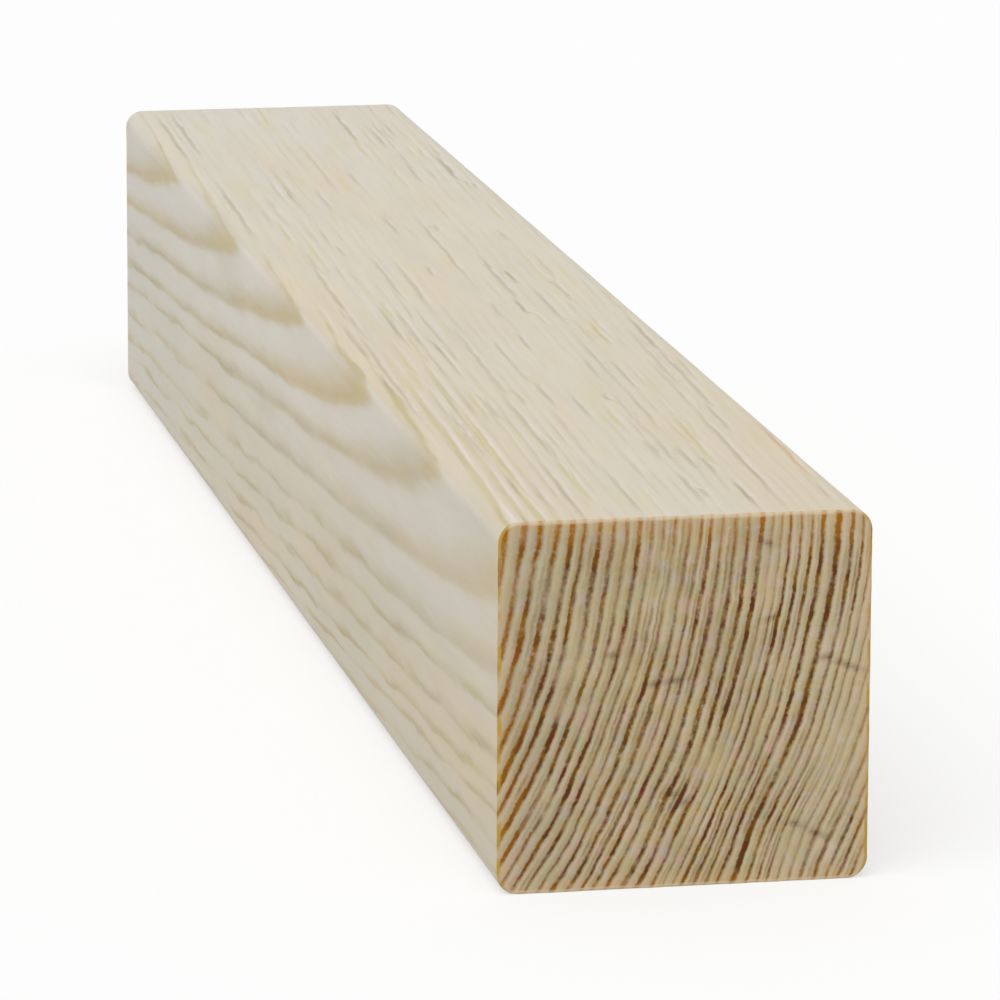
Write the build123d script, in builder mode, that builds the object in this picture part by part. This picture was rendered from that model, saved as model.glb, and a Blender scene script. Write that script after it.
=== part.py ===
"""A short cut of planed square softwood timber, lying on one of its long faces.

The stock is sawn from the log, planed on its four long faces, eased along its
four long arrises by the planer's corner cutters, and cross-cut square at both
ends. It is one piece of wood, so it is one solid.

Frame, in millimetres: the origin is at the middle of the face it lies on,
+Z is up, +Y runs along the grain and +X across it.
"""

import os

from build123d import *

# The planed section, square, and the length it is cross-cut to.
SECTION_WIDTH = 44.0
SECTION_HEIGHT = 44.0
CUT_LENGTH = 300.0

# The round that the planer leaves along each long arris.
ARRIS_RADIUS = 2.5

# The fine break that sanding leaves round each sawn end.
END_BREAK = 0.3

# The plane of the first saw cut, whose normal runs along the grain.
first_cut = Plane(
    origin=(0, -CUT_LENGTH / 2, SECTION_HEIGHT / 2),
    x_dir=(-1, 0, 0),
    z_dir=(0, 1, 0),
)

# The planed section runs from the first saw cut to the second.
with BuildPart() as timber_plank:
    with BuildSketch(first_cut) as planed_section:
        RectangleRounded(SECTION_WIDTH, SECTION_HEIGHT, ARRIS_RADIUS)
    extrude(amount=CUT_LENGTH)
    sawn_ends = timber_plank.faces().filter_by(Axis.Y).sort_by(Axis.Y)
    chamfer(sawn_ends.edges(), length=END_BREAK)

timber_plank.part.label = "timber_plank"

os.makedirs("parts", exist_ok=True)
export_step(timber_plank.part, "parts/timber_plank.step")
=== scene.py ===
"""The looks of a short cut of planed square pine, drawn as one closed skin on its solid.

The rings of the tree run right through the plank. One growth model says which year's
ring each point of the skin lies in, so the curved lines on the sawn ends, the fine
straight lines on the top and the flames on the sides belong together and meet at the
edges. Lengths are in millimetres here, and only the finished meshes are in metres.
"""

import logging
import math
from dataclasses import dataclass
from enum import Enum
from functools import partial
from typing import Any, Callable

import bpy
import numpy as np
from mathutils import Matrix, Vector


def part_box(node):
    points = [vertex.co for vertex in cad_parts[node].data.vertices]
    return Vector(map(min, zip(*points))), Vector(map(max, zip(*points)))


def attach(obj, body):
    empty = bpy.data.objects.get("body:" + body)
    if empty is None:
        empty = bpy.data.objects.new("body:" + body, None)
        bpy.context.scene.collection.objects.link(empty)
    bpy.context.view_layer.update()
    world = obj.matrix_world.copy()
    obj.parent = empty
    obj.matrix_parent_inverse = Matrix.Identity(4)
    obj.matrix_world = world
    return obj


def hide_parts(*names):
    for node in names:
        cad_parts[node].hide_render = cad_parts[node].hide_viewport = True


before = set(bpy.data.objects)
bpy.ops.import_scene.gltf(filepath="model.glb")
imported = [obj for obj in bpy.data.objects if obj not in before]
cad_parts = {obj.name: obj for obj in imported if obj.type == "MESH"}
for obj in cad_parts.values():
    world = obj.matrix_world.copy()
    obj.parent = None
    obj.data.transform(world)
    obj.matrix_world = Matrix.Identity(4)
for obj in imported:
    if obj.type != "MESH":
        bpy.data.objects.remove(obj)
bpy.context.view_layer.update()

log = logging.getLogger("timber")

MM = 0.001
NODE = "timber_plank"
BODY = "root"
PIECE = "pine_plank"
BAKE_MAP = "OFBake"

# A noise is a half on average, and a year's band repeats every half year, there and back.
NOISE_MEAN = 0.5
HALF_YEAR = 0.5

Size = tuple[float, float, float]
Socket = bpy.types.NodeSocket
Add = Callable[..., Socket]

# A ramp is where it starts and stops, and what it gives there: zero and one where left out.
Ramp = tuple[float, ...]
Stops = tuple[tuple[float, Any], ...]

# Settings that make a node mix colours, its inputs 6 and 7, and a ramp ease in and out.
COLOURS = {"out": 2, "data_type": "RGBA"}
EASED = {"interpolation_type": "SMOOTHSTEP"}


def linear(hex_colour: str) -> tuple[float, float, float, float]:
    """Turns an sRGB hex colour into linear light.

    Args:
        hex_colour: Six hex digits after a hash, such as "#D9D4C7".

    Returns:
        Red, green, blue and an alpha of one.
    """
    shares = [int(hex_colour[i:i + 2], 16) / 255 for i in (1, 3, 5)]
    red, green, blue = [s / 12.92 if s <= 0.04045 else ((s + 0.055) / 1.055) ** 2.4 for s in shares]
    return red, green, blue, 1.0


def add_node(tree: bpy.types.NodeTree, kind: str, inputs: dict[Any, Any] | tuple = (),
             out: int | str = 0, stops: Stops = (), **settings: Any) -> Socket:
    """Adds one node with its settings, its values and its links.

    Args:
        tree: The node tree that gets the node.
        kind: The node's type name, without "ShaderNode" before it.
        inputs: For each input's name or number, a socket to link or a value to set. A
            plain row of them starts with the first input.
        out: The name or number of the output that is handed back.
        stops: For a colour ramp, each stop's place with its hex colour or grey level.
        settings: The node's own properties.

    Returns:
        The output socket.
    """
    node = tree.nodes.new("ShaderNode" + kind)
    for name, value in settings.items():
        setattr(node, name, value)
    numbered = inputs if isinstance(inputs, dict) else dict(enumerate(inputs))
    for place, value in numbered.items():
        if isinstance(value, bpy.types.NodeSocket):
            tree.links.new(value, node.inputs[place])
        else:
            node.inputs[place].default_value = value
    for number, (place, value) in enumerate(stops):
        elements = node.color_ramp.elements
        element = elements[number] if number < 2 else elements.new(place)
        element.position = place
        element.color = linear(value) if isinstance(value, str) else (value, value, value, 1.0)
    return node.outputs[out]


def add_output(tree: bpy.types.NodeTree, shader: Socket, kind: str = "Material") -> None:
    """Links a shader to a new output of the tree, a material's or a world's."""
    output = tree.nodes.new("ShaderNodeOutput" + kind)
    tree.links.new(shader, output.inputs["Surface"])


def fresh_material(name: str) -> bpy.types.Material:
    """Makes a node material with nothing in it yet.

    Args:
        name: The material's name.

    Returns:
        The material.
    """
    material = bpy.data.materials.new(name)
    material.use_nodes = True
    material.node_tree.nodes.clear()
    return material


def waves(points: np.ndarray, lengths: Size, seed: int, count: int = 28) -> np.ndarray:
    """Gives a smooth seeded unevenness with a mean of zero and a spread of about one.

    It is the sum of plane waves, sin(k . p + phase), whose directions k are drawn from a
    bell curve that is narrow along the axes on which the unevenness is long.

    Args:
        points: Places in millimetres, with the three coordinates on the last axis.
        lengths: The typical wave length along each axis, in millimetres.
        seed: The seed of the directions and phases.
        count: How many waves are added.

    Returns:
        One value for each point.
    """
    draw = np.random.default_rng(seed)
    directions = draw.normal(size=(count, 3)) * (2 * np.pi / np.array(lengths))
    phases = draw.uniform(0, 2 * np.pi, count)
    return np.sin(points @ directions.T + phases).sum(axis=-1) * math.sqrt(2 / count)


class Latewood(Enum):
    """How strongly a year's dark summer growth shows, beside a plain year's."""

    GHOST = 0.4
    FAINT = 0.55
    THIN = 0.8
    PLAIN = 1.0
    BOLD = 1.35


# The range of the latewood's strength, from a year that hardly shows to the boldest.
STRENGTHS: Ramp = (Latewood.GHOST.value, Latewood.BOLD.value)


@dataclass(frozen=True)
class Spot:
    """A soft round spot in the section: its middle, how much it adds there and its reach."""

    across: float
    up: float
    amount: float
    reach: float

    def at(self, across: np.ndarray, up: np.ndarray) -> np.ndarray:
        """Gives what the spot adds at each point: a bell curve of the distance from its middle."""
        distance = np.hypot(across - self.across, up - self.up)
        return self.amount * np.exp(-0.5 * (distance / self.reach) ** 2)


@dataclass(frozen=True)
class Tear:
    """A spot where the saw tore the fibres: its place in the section, its slope and its length."""

    across: float
    up: float
    slope: float
    length: float

    def at(self, across: np.ndarray, up: np.ndarray, width: float) -> np.ndarray:
        """Says how torn each point is: a bell curve along the slope and a narrow one across it.

        Args:
            across: Distance right of the section's centre.
            up: Distance above the section's centre.
            width: How far the tear reaches across its slope.

        Returns:
            A share from zero to one for each point.
        """
        turn = math.atan(self.slope)
        right, above = across - self.across, up - self.up
        run = right * math.cos(turn) + above * math.sin(turn)
        off = above * math.cos(turn) - right * math.sin(turn)
        return np.exp(-0.5 * ((run / self.length) ** 2 + (off / width) ** 2))


class Stain(Enum):
    """What colours a streak in the planed wood, and its painted highlight, with the attribute that carries
    each.
    """

    GREY = "stain_grey"
    GOLD = "stain_gold"
    OCHRE = "stain_ochre"
    # The pale one is a painted highlight beside each streak, not a stain.
    PALE_HIGHLIGHT = "stain_pale"


Streaks = dict[Stain, tuple[tuple[float, float, float, float], ...]]

# Ring widths from the pith side outwards, with each year's latewood.
YEARS: tuple[tuple[float, Latewood], ...] = (
    (1.80, Latewood.PLAIN), (1.85, Latewood.BOLD), (1.70, Latewood.BOLD), (1.75, Latewood.BOLD),
    (1.90, Latewood.BOLD), (1.60, Latewood.BOLD), (2.35, Latewood.PLAIN), (2.20, Latewood.PLAIN),
    (1.75, Latewood.BOLD), (1.95, Latewood.PLAIN), (1.70, Latewood.BOLD), (1.30, Latewood.BOLD),
    (1.85, Latewood.PLAIN), (1.55, Latewood.PLAIN), (1.40, Latewood.FAINT), (1.45, Latewood.BOLD),
    (1.45, Latewood.THIN), (1.30, Latewood.FAINT), (1.35, Latewood.BOLD), (1.65, Latewood.PLAIN),
    (1.25, Latewood.THIN), (1.25, Latewood.BOLD), (1.45, Latewood.PLAIN), (1.70, Latewood.PLAIN),
    (1.45, Latewood.PLAIN), (1.50, Latewood.BOLD), (1.10, Latewood.GHOST), (1.00, Latewood.GHOST),
    (1.00, Latewood.BOLD), (1.30, Latewood.THIN), (1.25, Latewood.THIN), (1.25, Latewood.PLAIN),
    (1.90, Latewood.BOLD), (1.60, Latewood.THIN), (1.20, Latewood.THIN), (1.00, Latewood.THIN),
    (1.20, Latewood.GHOST), (1.20, Latewood.GHOST), (1.20, Latewood.THIN), (1.50, Latewood.THIN),
    (1.20, Latewood.THIN), (1.15, Latewood.PLAIN), (1.25, Latewood.PLAIN), (1.30, Latewood.PLAIN),
    (1.30, Latewood.PLAIN),
)

# Where the rings bulge outwards or dip at the near end.
BENDS: tuple[Spot, ...] = (
    Spot(12.0, -16.0, 1.2, 5.0), Spot(21.0, 15.0, -0.5, 6.0), Spot(-17.0, 16.0, 0.5, 7.0),
)

# Where the lines of the sawn ends are darker or fainter: first broad parts, then single lines.
SHADES: tuple[Spot, ...] = (
    Spot(0.0, 12.0, -0.24, 6.5), Spot(-12.0, 14.0, -0.08, 6.0), Spot(16.5, 15.0, 0.25, 4.5),
    Spot(-16.0, -7.0, 0.4, 5.0), Spot(8.0, -16.0, 0.3, 4.5), Spot(16.5, -14.0, -0.16, 5.0),
    Spot(3.0, -7.0, -0.1, 3.5), Spot(0.0, 0.0, 0.15, 4.0), Spot(10.0, 6.0, 0.22, 4.5),
    Spot(17.0, 9.0, -0.12, 3.5), Spot(8.0, -6.0, -0.14, 4.0), Spot(-7.0, -7.0, -0.25, 4.0),
    Spot(-15.0, -17.0, 0.15, 3.5), Spot(9.8, 16.5, -0.6, 1.2), Spot(9.4, 13.0, -0.6, 1.2),
    Spot(8.6, 4.5, -0.6, 1.2), Spot(19.0, -3.0, -0.5, 1.6), Spot(17.5, -7.0, -0.5, 1.6),
    Spot(12.5, -18.0, -0.7, 1.7), Spot(3.0, -7.5, -0.6, 1.4), Spot(-3.2, 17.0, -0.6, 1.2),
    Spot(-3.4, 13.0, -0.5, 1.2), Spot(7.6, 11.5, 0.5, 1.2), Spot(10.2, 8.6, 0.6, 1.0),
    Spot(4.9, -0.6, 0.6, 1.0), Spot(4.3, -2.6, 0.5, 0.9), Spot(-0.3, -10.6, 0.45, 0.9),
    Spot(0.0, -12.8, 0.4, 1.0), Spot(8.0, -14.0, 0.35, 2.0), Spot(-13.6, -9.2, 0.7, 1.3),
    Spot(-13.0, 6.5, -0.5, 1.2), Spot(-13.8, 3.5, -0.75, 1.2), Spot(-14.6, 0.2, -0.7, 1.2),
    Spot(-16.2, -9.2, -0.8, 1.6), Spot(-17.3, -12.2, -0.6, 1.4), Spot(-18.8, -11.0, 0.4, 1.3),
    Spot(-17.4, 2.2, 0.5, 1.2), Spot(-18.6, -2.0, 0.4, 1.3), Spot(13.2, 4.2, -0.35, 0.9),
    Spot(14.2, -0.7, 0.4, 1.2), Spot(-17.2, 18.5, 0.55, 1.3), Spot(-16.3, 12.5, -0.5, 1.3),
    Spot(-15.9, 15.8, -0.4, 1.0), Spot(17.2, -8.6, -0.4, 1.8), Spot(13.5, -12.6, 0.35, 0.9),
    Spot(17.9, -12.0, 0.3, 0.9), Spot(20.2, -15.4, 0.25, 1.2), Spot(-12.2, 2.2, 0.4, 0.9),
    Spot(-10.4, 17.7, 0.4, 1.1),
)

TEARS: tuple[Tear, ...] = (
    Tear(-1.2, 2.6, 0.1, 1.1), Tear(-3.6, 2.3, 0.2, 0.7), Tear(-8.6, 5.9, -0.1, 0.6),
    Tear(19.4, 3.5, -0.35, 1.5), Tear(16.6, 4.6, 0.1, 0.7), Tear(9.6, 18.4, -0.3, 0.6),
    Tear(10.1, 9.5, 0.4, 0.6), Tear(-0.3, -12.1, 0.5, 0.8), Tear(-1.4, -10.9, -0.2, 0.6),
    Tear(13.4, -15.2, -0.3, 0.8), Tear(16.0, -16.5, -0.4, 1.0), Tear(5.0, -0.8, 0.6, 0.5),
)

# Each streak has its place right of the middle of the top, or above the middle of the left
# face, its start and stop from the near end, and its depth.
TOP_STREAKS: Streaks = {
    Stain.GREY: (
        (18.6, 98, 119, 0.8), (19.0, 78, 92, 0.35), (18.6, 6, 14, 0.4), (17.6, 60, 98, 0.45),
        (16.4, 70, 110, 0.35), (16.0, 46, 62, 0.5), (14.9, 60, 90, 0.35), (13.3, 4, 58, 0.5),
        (14.4, 133, 147, 0.55), (15.7, 150, 168, 0.3), (14.8, 179, 186, 0.45), (18.6, 221, 226, 0.5),
        (17.6, 229, 249, 0.8), (14.3, 265, 280, 0.3), (12.4, 259, 277, 0.55), (11.9, 228, 244, 0.5),
        (9.3, 5, 17, 0.8), (8.6, 22, 31, 0.45), (7.0, 26, 37, 0.5), (7.8, 49, 67, 0.35),
        (5.4, 30, 41, 0.3), (4.7, 9, 15, 0.5), (3.7, 7, 22, 0.5), (4.0, 31, 42, 0.4),
        (5.1, 65, 70, 0.5), (7.1, 80, 92, 0.35), (10.4, 80, 90, 0.4), (10.5, 117, 140, 0.4),
        (8.8, 72, 105, 0.3), (5.9, 44, 70, 0.35), (9.5, 147, 155, 0.9), (6.6, 124, 134, 0.9),
        (7.7, 134, 167, 0.55), (9.0, 169, 186, 0.25), (4.3, 149, 197, 0.5), (6.6, 187, 192, 0.45),
        (2.8, 123, 132, 0.4), (2.1, 100, 110, 0.55), (9.2, 266, 293, 0.75), (2.3, 227, 237, 0.45),
        (0.9, 56, 70, 0.4), (0.5, 186, 199, 0.4), (-0.6, 153, 160, 0.65), (-2.0, 65, 78, 0.5),
        (-1.3, 225, 263, 0.35), (-2.4, 79, 90, 0.3), (-5.5, 66, 74, 0.4), (-4.4, 2, 26, 0.45),
        (-8.0, 38, 70, 0.35), (-6.0, 73, 114, 0.4), (-4.6, 137, 163, 0.35), (-5.2, 207, 224, 0.35),
        (-7.3, 139, 167, 0.4), (-7.8, 32, 47, 0.35), (-8.5, 94, 102, 0.45), (-10.0, 171, 177, 0.5),
        (-10.2, 57, 70, 0.4), (-11.3, 0, 33, 0.4), (-16.2, 35, 63, 0.4), (-16.7, 113, 165, 0.5),
        (-19.2, 55, 112, 0.45), (-17.4, 122, 135, 0.5), (-19.2, 186, 232, 0.5), (-16.2, 258, 294, 0.6),
        (-18.7, 254, 292, 0.65)),
    Stain.GOLD: (
        (19.6, 120, 141, 0.5), (13.0, 102, 118, 1.0), (14.1, 106, 122, 0.6), (12.2, 104, 113, 0.5),
        (14.0, 146, 170, 0.45), (17.3, 195, 207, 0.6), (18.6, 250, 262, 0.6), (11.6, 46, 54, 0.5),
        (10.2, 30, 52, 0.8), (11.1, 38, 57, 0.45), (3.4, 50, 63, 0.7), (7.5, 116, 124, 0.6),
        (8.0, 250, 267, 0.5), (9.0, 222, 242, 0.6), (-6.5, 195, 203, 0.4), (-8.7, 11, 28, 0.8),
        (-11.6, 58, 74, 0.7), (-11.5, 124, 135, 0.7), (-12.4, 92, 112, 0.6), (-13.8, 158, 187, 0.6),
        (-13.8, 67, 90, 0.5), (-15.0, 14, 60, 0.95), (-15.3, 180, 198, 0.6), (-16.3, 76, 88, 0.5),
        (-18.8, 0, 90, 0.7), (-20.2, 229, 250, 0.5), (-20.8, 88, 112, 0.5), (-18.0, 0, 8, 0.4)),
    Stain.OCHRE: (
        (19.6, 20, 48, 1.0), (11.4, 104, 118, 0.45), (9.3, 34, 50, 0.4), (-20.9, 145, 157, 0.5),
        (-20.9, 208, 230, 0.5), (-21.3, 38, 52, 0.4)),
}
LEFT_STREAKS: Streaks = {
    Stain.GREY: (
        (-6.8, 2, 13, 0.4), (-8.2, 35, 47, 0.3), (-3.8, 50, 75, 0.35), (-16.5, 17, 36, 0.4),
        (-17.2, 35, 52, 0.25), (-13.7, 36, 52, 0.25), (-19.3, 90, 110, 0.3), (-1.3, 80, 92, 0.3),
        (5.0, 66, 82, 0.2), (-1.6, 142, 160, 0.25), (-2.9, 165, 200, 0.45), (-8.5, 143, 162, 0.4),
        (-8.8, 168, 180, 0.25), (-12.1, 125, 145, 0.25), (-12.3, 168, 182, 0.25), (-15.2, 100, 160, 0.3),
        (-17.2, 178, 200, 0.3), (0.2, 190, 228, 0.3), (-0.3, 268, 296, 0.35), (5.6, 255, 286, 0.25)),
    Stain.GOLD: (
        (-1.2, 12, 22, 0.7), (4.0, 8, 28, 0.4), (-7.0, 15, 22, 0.4), (-10.4, 10, 20, 0.7),
        (-10.8, 26, 33, 0.4), (-11.2, 38, 62, 0.35), (-8.5, 68, 77, 0.4), (-12.3, 66, 81, 0.5),
        (-5.0, 81, 92, 0.4), (10.8, 153, 168, 0.7), (2.9, 146, 158, 0.5), (1.5, 245, 262, 0.4),
        (11.0, 258, 272, 0.4), (-13.5, 228, 252, 0.3), (18.5, 30, 46, 0.6), (18.0, 78, 96, 0.6),
        (18.0, 130, 152, 0.5), (17.5, 197, 214, 0.6), (18.0, 246, 264, 0.5)),
    Stain.OCHRE: ((-16.4, 18, 24, 0.4), (-18.4, 75, 86, 0.6), (-11.2, 270, 286, 0.3)),
}


@dataclass(frozen=True)
class Growth:
    """The tree's rings as they run through the plank.

    A point's radius is its distance from the pith in the section, less the stem's taper
    over the distance from the near end, plus bends that die away along the grain and a
    gentle wander of the whole stem.
    """

    pith_left: float = 93.9
    pith_above: float = 28.3
    pith_rise: float = 0.0208
    taper: float = 0.0358
    bend_length: float = 60.0
    wander: float = 0.07
    wander_lengths: Size = (16.0, 150.0, 16.0)
    wander_seed: int = 11
    first_radius: float = 60.85
    latewood_middle: float = 0.7

    def offsets(self, across: np.ndarray, along: np.ndarray,
                up: np.ndarray) -> tuple[np.ndarray, np.ndarray]:
        """Gives a point's distances from the pith, across and up, with the pith rising along the grain."""
        return across + self.pith_left, up - self.pith_above - self.pith_rise * along

    def radius(self, across: np.ndarray, along: np.ndarray, up: np.ndarray) -> np.ndarray:
        """Works out how far out in the tree each point grew.

        Args:
            across: Distance right of the section's centre.
            along: Distance from the near sawn end.
            up: Distance above the section's centre.

        Returns:
            The radius of the ring through each point.
        """
        radius = np.hypot(*self.offsets(across, along, up)) - self.taper * along
        fading = np.exp(-along / self.bend_length)
        for bend in BENDS:
            radius = radius + bend.at(across, up) * fading
        points = np.stack([across, along, up], axis=-1)
        return radius + self.wander * waves(points, self.wander_lengths, self.wander_seed)

    def shade(self, across: np.ndarray, up: np.ndarray) -> np.ndarray:
        """Says how dark the lines are in each part of the section, beside plain ones.

        Args:
            across: Distance right of the section's centre.
            up: Distance above the section's centre.

        Returns:
            One for a plain line, more for a darker one and less for a fainter one.
        """
        shade = np.ones(len(across))
        for spot in SHADES:
            shade = shade + spot.at(across, up)
        return shade

    def ring(self, radius: np.ndarray) -> np.ndarray:
        """Counts years outwards.

        Args:
            radius: How far out in the tree each point grew.

        Returns:
            The count, where a whole number is the sharp outer edge of a year's latewood.
        """
        widths = [width for width, _ in YEARS]
        edges = self.first_radius + np.concatenate([[0.0], np.cumsum(widths)])
        return np.interp(radius, edges, np.arange(len(edges)))

    def latewood(self, ring: np.ndarray) -> np.ndarray:
        """Gives the strength of the latewood of the year that each ring count lies in.

        Args:
            ring: The count of years at each point.

        Returns:
            The strength, which changes smoothly from one year's latewood to the next.
        """
        strengths = np.array([kind.value for _, kind in YEARS])
        middles = np.arange(len(strengths)) + self.latewood_middle
        return np.interp(ring, middles, strengths)

    def arc(self, across: np.ndarray, along: np.ndarray, up: np.ndarray) -> np.ndarray:
        """Measures the way along the ring through each point, from level with the pith."""
        right, above = self.offsets(across, along, up)
        return np.arctan2(above, right) * np.hypot(right, above)

    def facing(self, points: np.ndarray, normals: np.ndarray) -> np.ndarray:
        """Says how squarely the skin faces the pith.

        Args:
            points: Across, along and up, in the plank's own measures.
            normals: The outward directions at the points.

        Returns:
            One on a flat-sawn face and zero on a quartered one.
        """
        right, above = self.offsets(*points.T)
        reach = np.hypot(right, above)
        return np.abs(normals[:, 0] * right + normals[:, 2] * above) / reach


@dataclass(frozen=True)
class WoodFinish:
    """What both finishes of the wood share: a dull surface whose fibres vary its gloss and relief."""

    name: str
    roughness: Ramp
    relief: float
    gloss: float = 0.3
    refraction: float = 1.5
    fibre_spread: Ramp = (0.3, 0.7)
    fibre_height: float = 0.5
    relief_strength: float = 0.3

    def begin(self) -> tuple[bpy.types.Material, Add, Socket]:
        """Makes the empty material.

        Returns:
            The material, what adds a node to it, and places on the piece in millimetres.
        """
        material = fresh_material(self.name)
        add = partial(add_node, material.node_tree)
        place = add("TexCoord", out="Object")
        return material, add, add("VectorMath", {0: place, "Scale": 1 / MM}, operation="SCALE")

    def yearly(self, add: Add, years: Socket, shift: float, full: float | Socket,
               gone: float | Socket) -> Socket:
        """Draws a soft band once in each year.

        Args:
            add: Adds a node to the material.
            years: The count of years.
            shift: How far before the year's edge the band's middle lies, in years.
            full: How far from its middle it starts to fade, in years.
            gone: How far from its middle it ends.

        Returns:
            One along the middle of the band and zero outside it.
        """
        shifted = add("Math", (years, shift), operation="ADD")
        off = add("Math", (shifted, HALF_YEAR), operation="PINGPONG")
        return add("MapRange", (off, full, gone, 1.0, 0.0), **EASED)

    def close(self, material: bpy.types.Material, add: Add, colour: Socket, fibre: Socket,
              tone: Socket) -> bpy.types.Material:
        """Shades the surface, where fibres and summer bands stand a little proud.

        Args:
            material: The material.
            add: Adds a node to it.
            colour: Its colour.
            fibre: The fine unevenness of the fibres.
            tone: How dark the summer band is.

        Returns:
            The finished material.
        """
        rough = add("MapRange", (fibre, *self.fibre_spread, *self.roughness))
        height = add("Math", (fibre, self.fibre_height, tone), operation="MULTIPLY_ADD")
        bump = add("Bump", {
            "Strength": self.relief_strength, "Distance": self.relief * MM, "Height": height})
        shader = add("BsdfPrincipled", {
            "Base Color": colour, "Roughness": rough, "Normal": bump,
            "Specular IOR Level": self.gloss, "IOR": self.refraction})
        add_output(material.node_tree, shader)
        return material


@dataclass(frozen=True)
class Pattern:
    """An uneven pattern: its size across, along and up, and how much finer detail it has."""

    size: Size
    detail: float
    roughness: float = 0.5


@dataclass(frozen=True)
class PlanedSkin:
    """What the planed finish reads at each point: places in millimetres, and shares up to one."""

    add: Add
    across: Socket
    along: Socket
    up: Socket
    grain: Socket
    facing: Socket
    flat_sawn: Socket
    quartered: Socket
    near_half: Socket
    near_left: Socket
    uneven: dict[str, Socket]


@dataclass(frozen=True)
class PlanedPine(WoodFinish):
    """Pine planed along the grain: matte, with soft fibre streaks and pale summer bands.

    A planer's knives leave a smooth, dull surface on which the fibres show as fine
    streaks along the grain. A flat-sawn face shows each year as a broad flame that
    darkens slowly outwards and ends at a sharp edge. A quartered face shows it as a thin
    line that comes and goes.
    """

    name: str = "planed_pine_faces"
    roughness: Ramp = (0.56, 0.72)
    relief: float = 0.04

    quartered_wood: str = "#D6CEBC"
    flat_wood: str = "#D5CDBA"
    pale_wood: str = "#DCD6CA"
    warm_wood: str = "#D9C9AC"
    dull_wood: str = "#CCC2AD"
    tan_wood: str = "#D6CAB2"
    cool_wood: str = "#D4D0C8"
    flame: str = "#CCB88F"
    grey_flame: str = "#C4BAA0"
    brown_flame: str = "#C3B692"
    line: str = "#A4977A"
    gold_line: str = "#C9BE86"
    ochre_line: str = "#D0AC80"
    # Partly the palest spring wood, partly a painted highlight beside the lines and streaks.
    pale_highlight_line: str = "#E4DAD6"
    resin: str = "#D2C48A"
    streak: str = "#A99B7E"

    # Patterns along the fibres. Real fibres are too fine to show, so they are drawn coarser.
    grain_slope: float = 0.036
    waver: Pattern = Pattern((6.0, 160.0, 6.0), 2.0)
    ripple: Pattern = Pattern((2.6, 15.0, 2.6), 2.0)
    fray: Pattern = Pattern((0.9, 30.0, 0.9), 2.0)
    patch: Pattern = Pattern((7.0, 60.0, 7.0), 1.0)
    cloud: Pattern = Pattern((12.0, 80.0, 12.0), 3.0)
    tint: Pattern = Pattern((4.0, 30.0, 4.0), 1.0)
    fibre: Pattern = Pattern((0.45, 14.0, 0.45), 2.0, 0.6)
    kink: Pattern = Pattern((2.0, 8.0, 2.0), 1.0)
    mottle: Pattern = Pattern((3.0, 26.0, 3.0), 2.0)
    dash: float = 22.0
    dash_detail: float = 2.0
    hue_detail: float = 1.0
    hue_seed: float = 4.0

    # Bands in each year: how far before its edge they lie, and where they fade and end.
    line_band: Size = (0.12, 0.04, 0.26)
    # The pale band is partly paler spring wood, partly a painted highlight beside each line.
    pale_band: Size = (0.72, 0.05, 0.24)
    flame_rise: Stops = (
        (0.0, 0.7), (1.0, 0.8), (0.08, 0.25), (0.16, 0.05), (0.28, 0.0), (0.5, 0.14), (0.75, 0.6),
        (0.9, 1.0))
    waver_years: float = 0.3
    ripple_years: Stops = ((0.6, 0.3), (0.98, 0.12), (0.84, 0.95))
    fray_years: Ramp = (0.0, 1.0, 0.6, 0.06)

    # Ramps over how squarely the skin faces the pith.
    sawn_flat: Ramp = (0.2, 0.85)
    narrowing: Ramp = (0.84, 0.97, 2.4, 1.6)
    fade_least: Ramp = (0.86, 0.98, 0.1, 0.75)
    side_lines: Ramp = (0.86, 0.97, 0.5, 0.0)
    high: Ramp = (0.88, 0.95)
    squarely: Ramp = (0.895, 0.955)
    brown_at: float = 0.88
    grey_at: float = 0.945
    tan_at: float = 0.99

    # Ramps over places on the plank.
    beside: Ramp = (-22.0, -2.0, 1.0, 0.0)
    nearer_half: Ramp = (-150.0, 0.0, 1.0, 0.0)
    nearness: Ramp = (-150.0, 20.0, 0.56, 0.94)
    palest: Ramp = (-150.0, -70.0, 0.65, 1.0)
    outer: Ramp = (3.0, 12.0)
    low: Ramp = (14.0, 2.0, 0.0, 0.6)
    cooled: Ramp = (30.0, 140.0)

    # Ramps over the uneven patterns and the flames.
    dashes: Ramp = (0.43, 0.68)
    stretches: Ramp = (0.46, 0.8, 0.06, 0.75)
    fade: Ramp = (0.38, 0.6)
    gold: Ramp = (0.45, 0.62, 0.0, 0.9)
    resins: Ramp = (0.6, 0.78, 0.0, 0.3)
    dark_fibre: Ramp = (0.6, 0.76, 0.0, 0.07)
    ragged: Ramp = (0.3, 0.7, 0.7, 1.0)
    warmth: Ramp = (0.5, 0.7, 0.0)
    warmest: Ramp = (0.0, 1.0, 0.8, 0.2)
    dulled: Ramp = (0.46, 0.3, 0.0, 0.6)
    coolest: Ramp = (0.0, 1.0, 0.35, 0.6)
    brightness: Ramp = (0.3, 0.7, 0.975, 1.025)
    hue_shift: Ramp = (0.3, 0.7, -0.03, 0.03)
    spring: Ramp = (0.0, 0.5, 1.0, 0.0)

    # How much more shows by the left arris towards the near end.
    more_dashes: float = 0.2
    more_lines: float = 0.4
    more_gold: float = 0.12
    low_softness: float = 0.84

    # A single streak's sway, where its dark line fades and ends, and how far off its pale painted highlight
    # is.
    kink_width: float = 0.9
    streak_edge: Ramp = (0.08, 0.5, 1.0, 0.0)
    highlight_beside: float = 0.68

    def material(self) -> bpy.types.Material:
        """Builds the node material.

        Returns:
            The material of the four long faces.
        """
        material, add, mm = self.begin()
        skin = self.skin(add, mm)
        years = self.years(skin)
        phase = add("Math", (years,), operation="FRACT")
        rise = add("ValToRGB", (phase,), stops=self.flame_rise)

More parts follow.
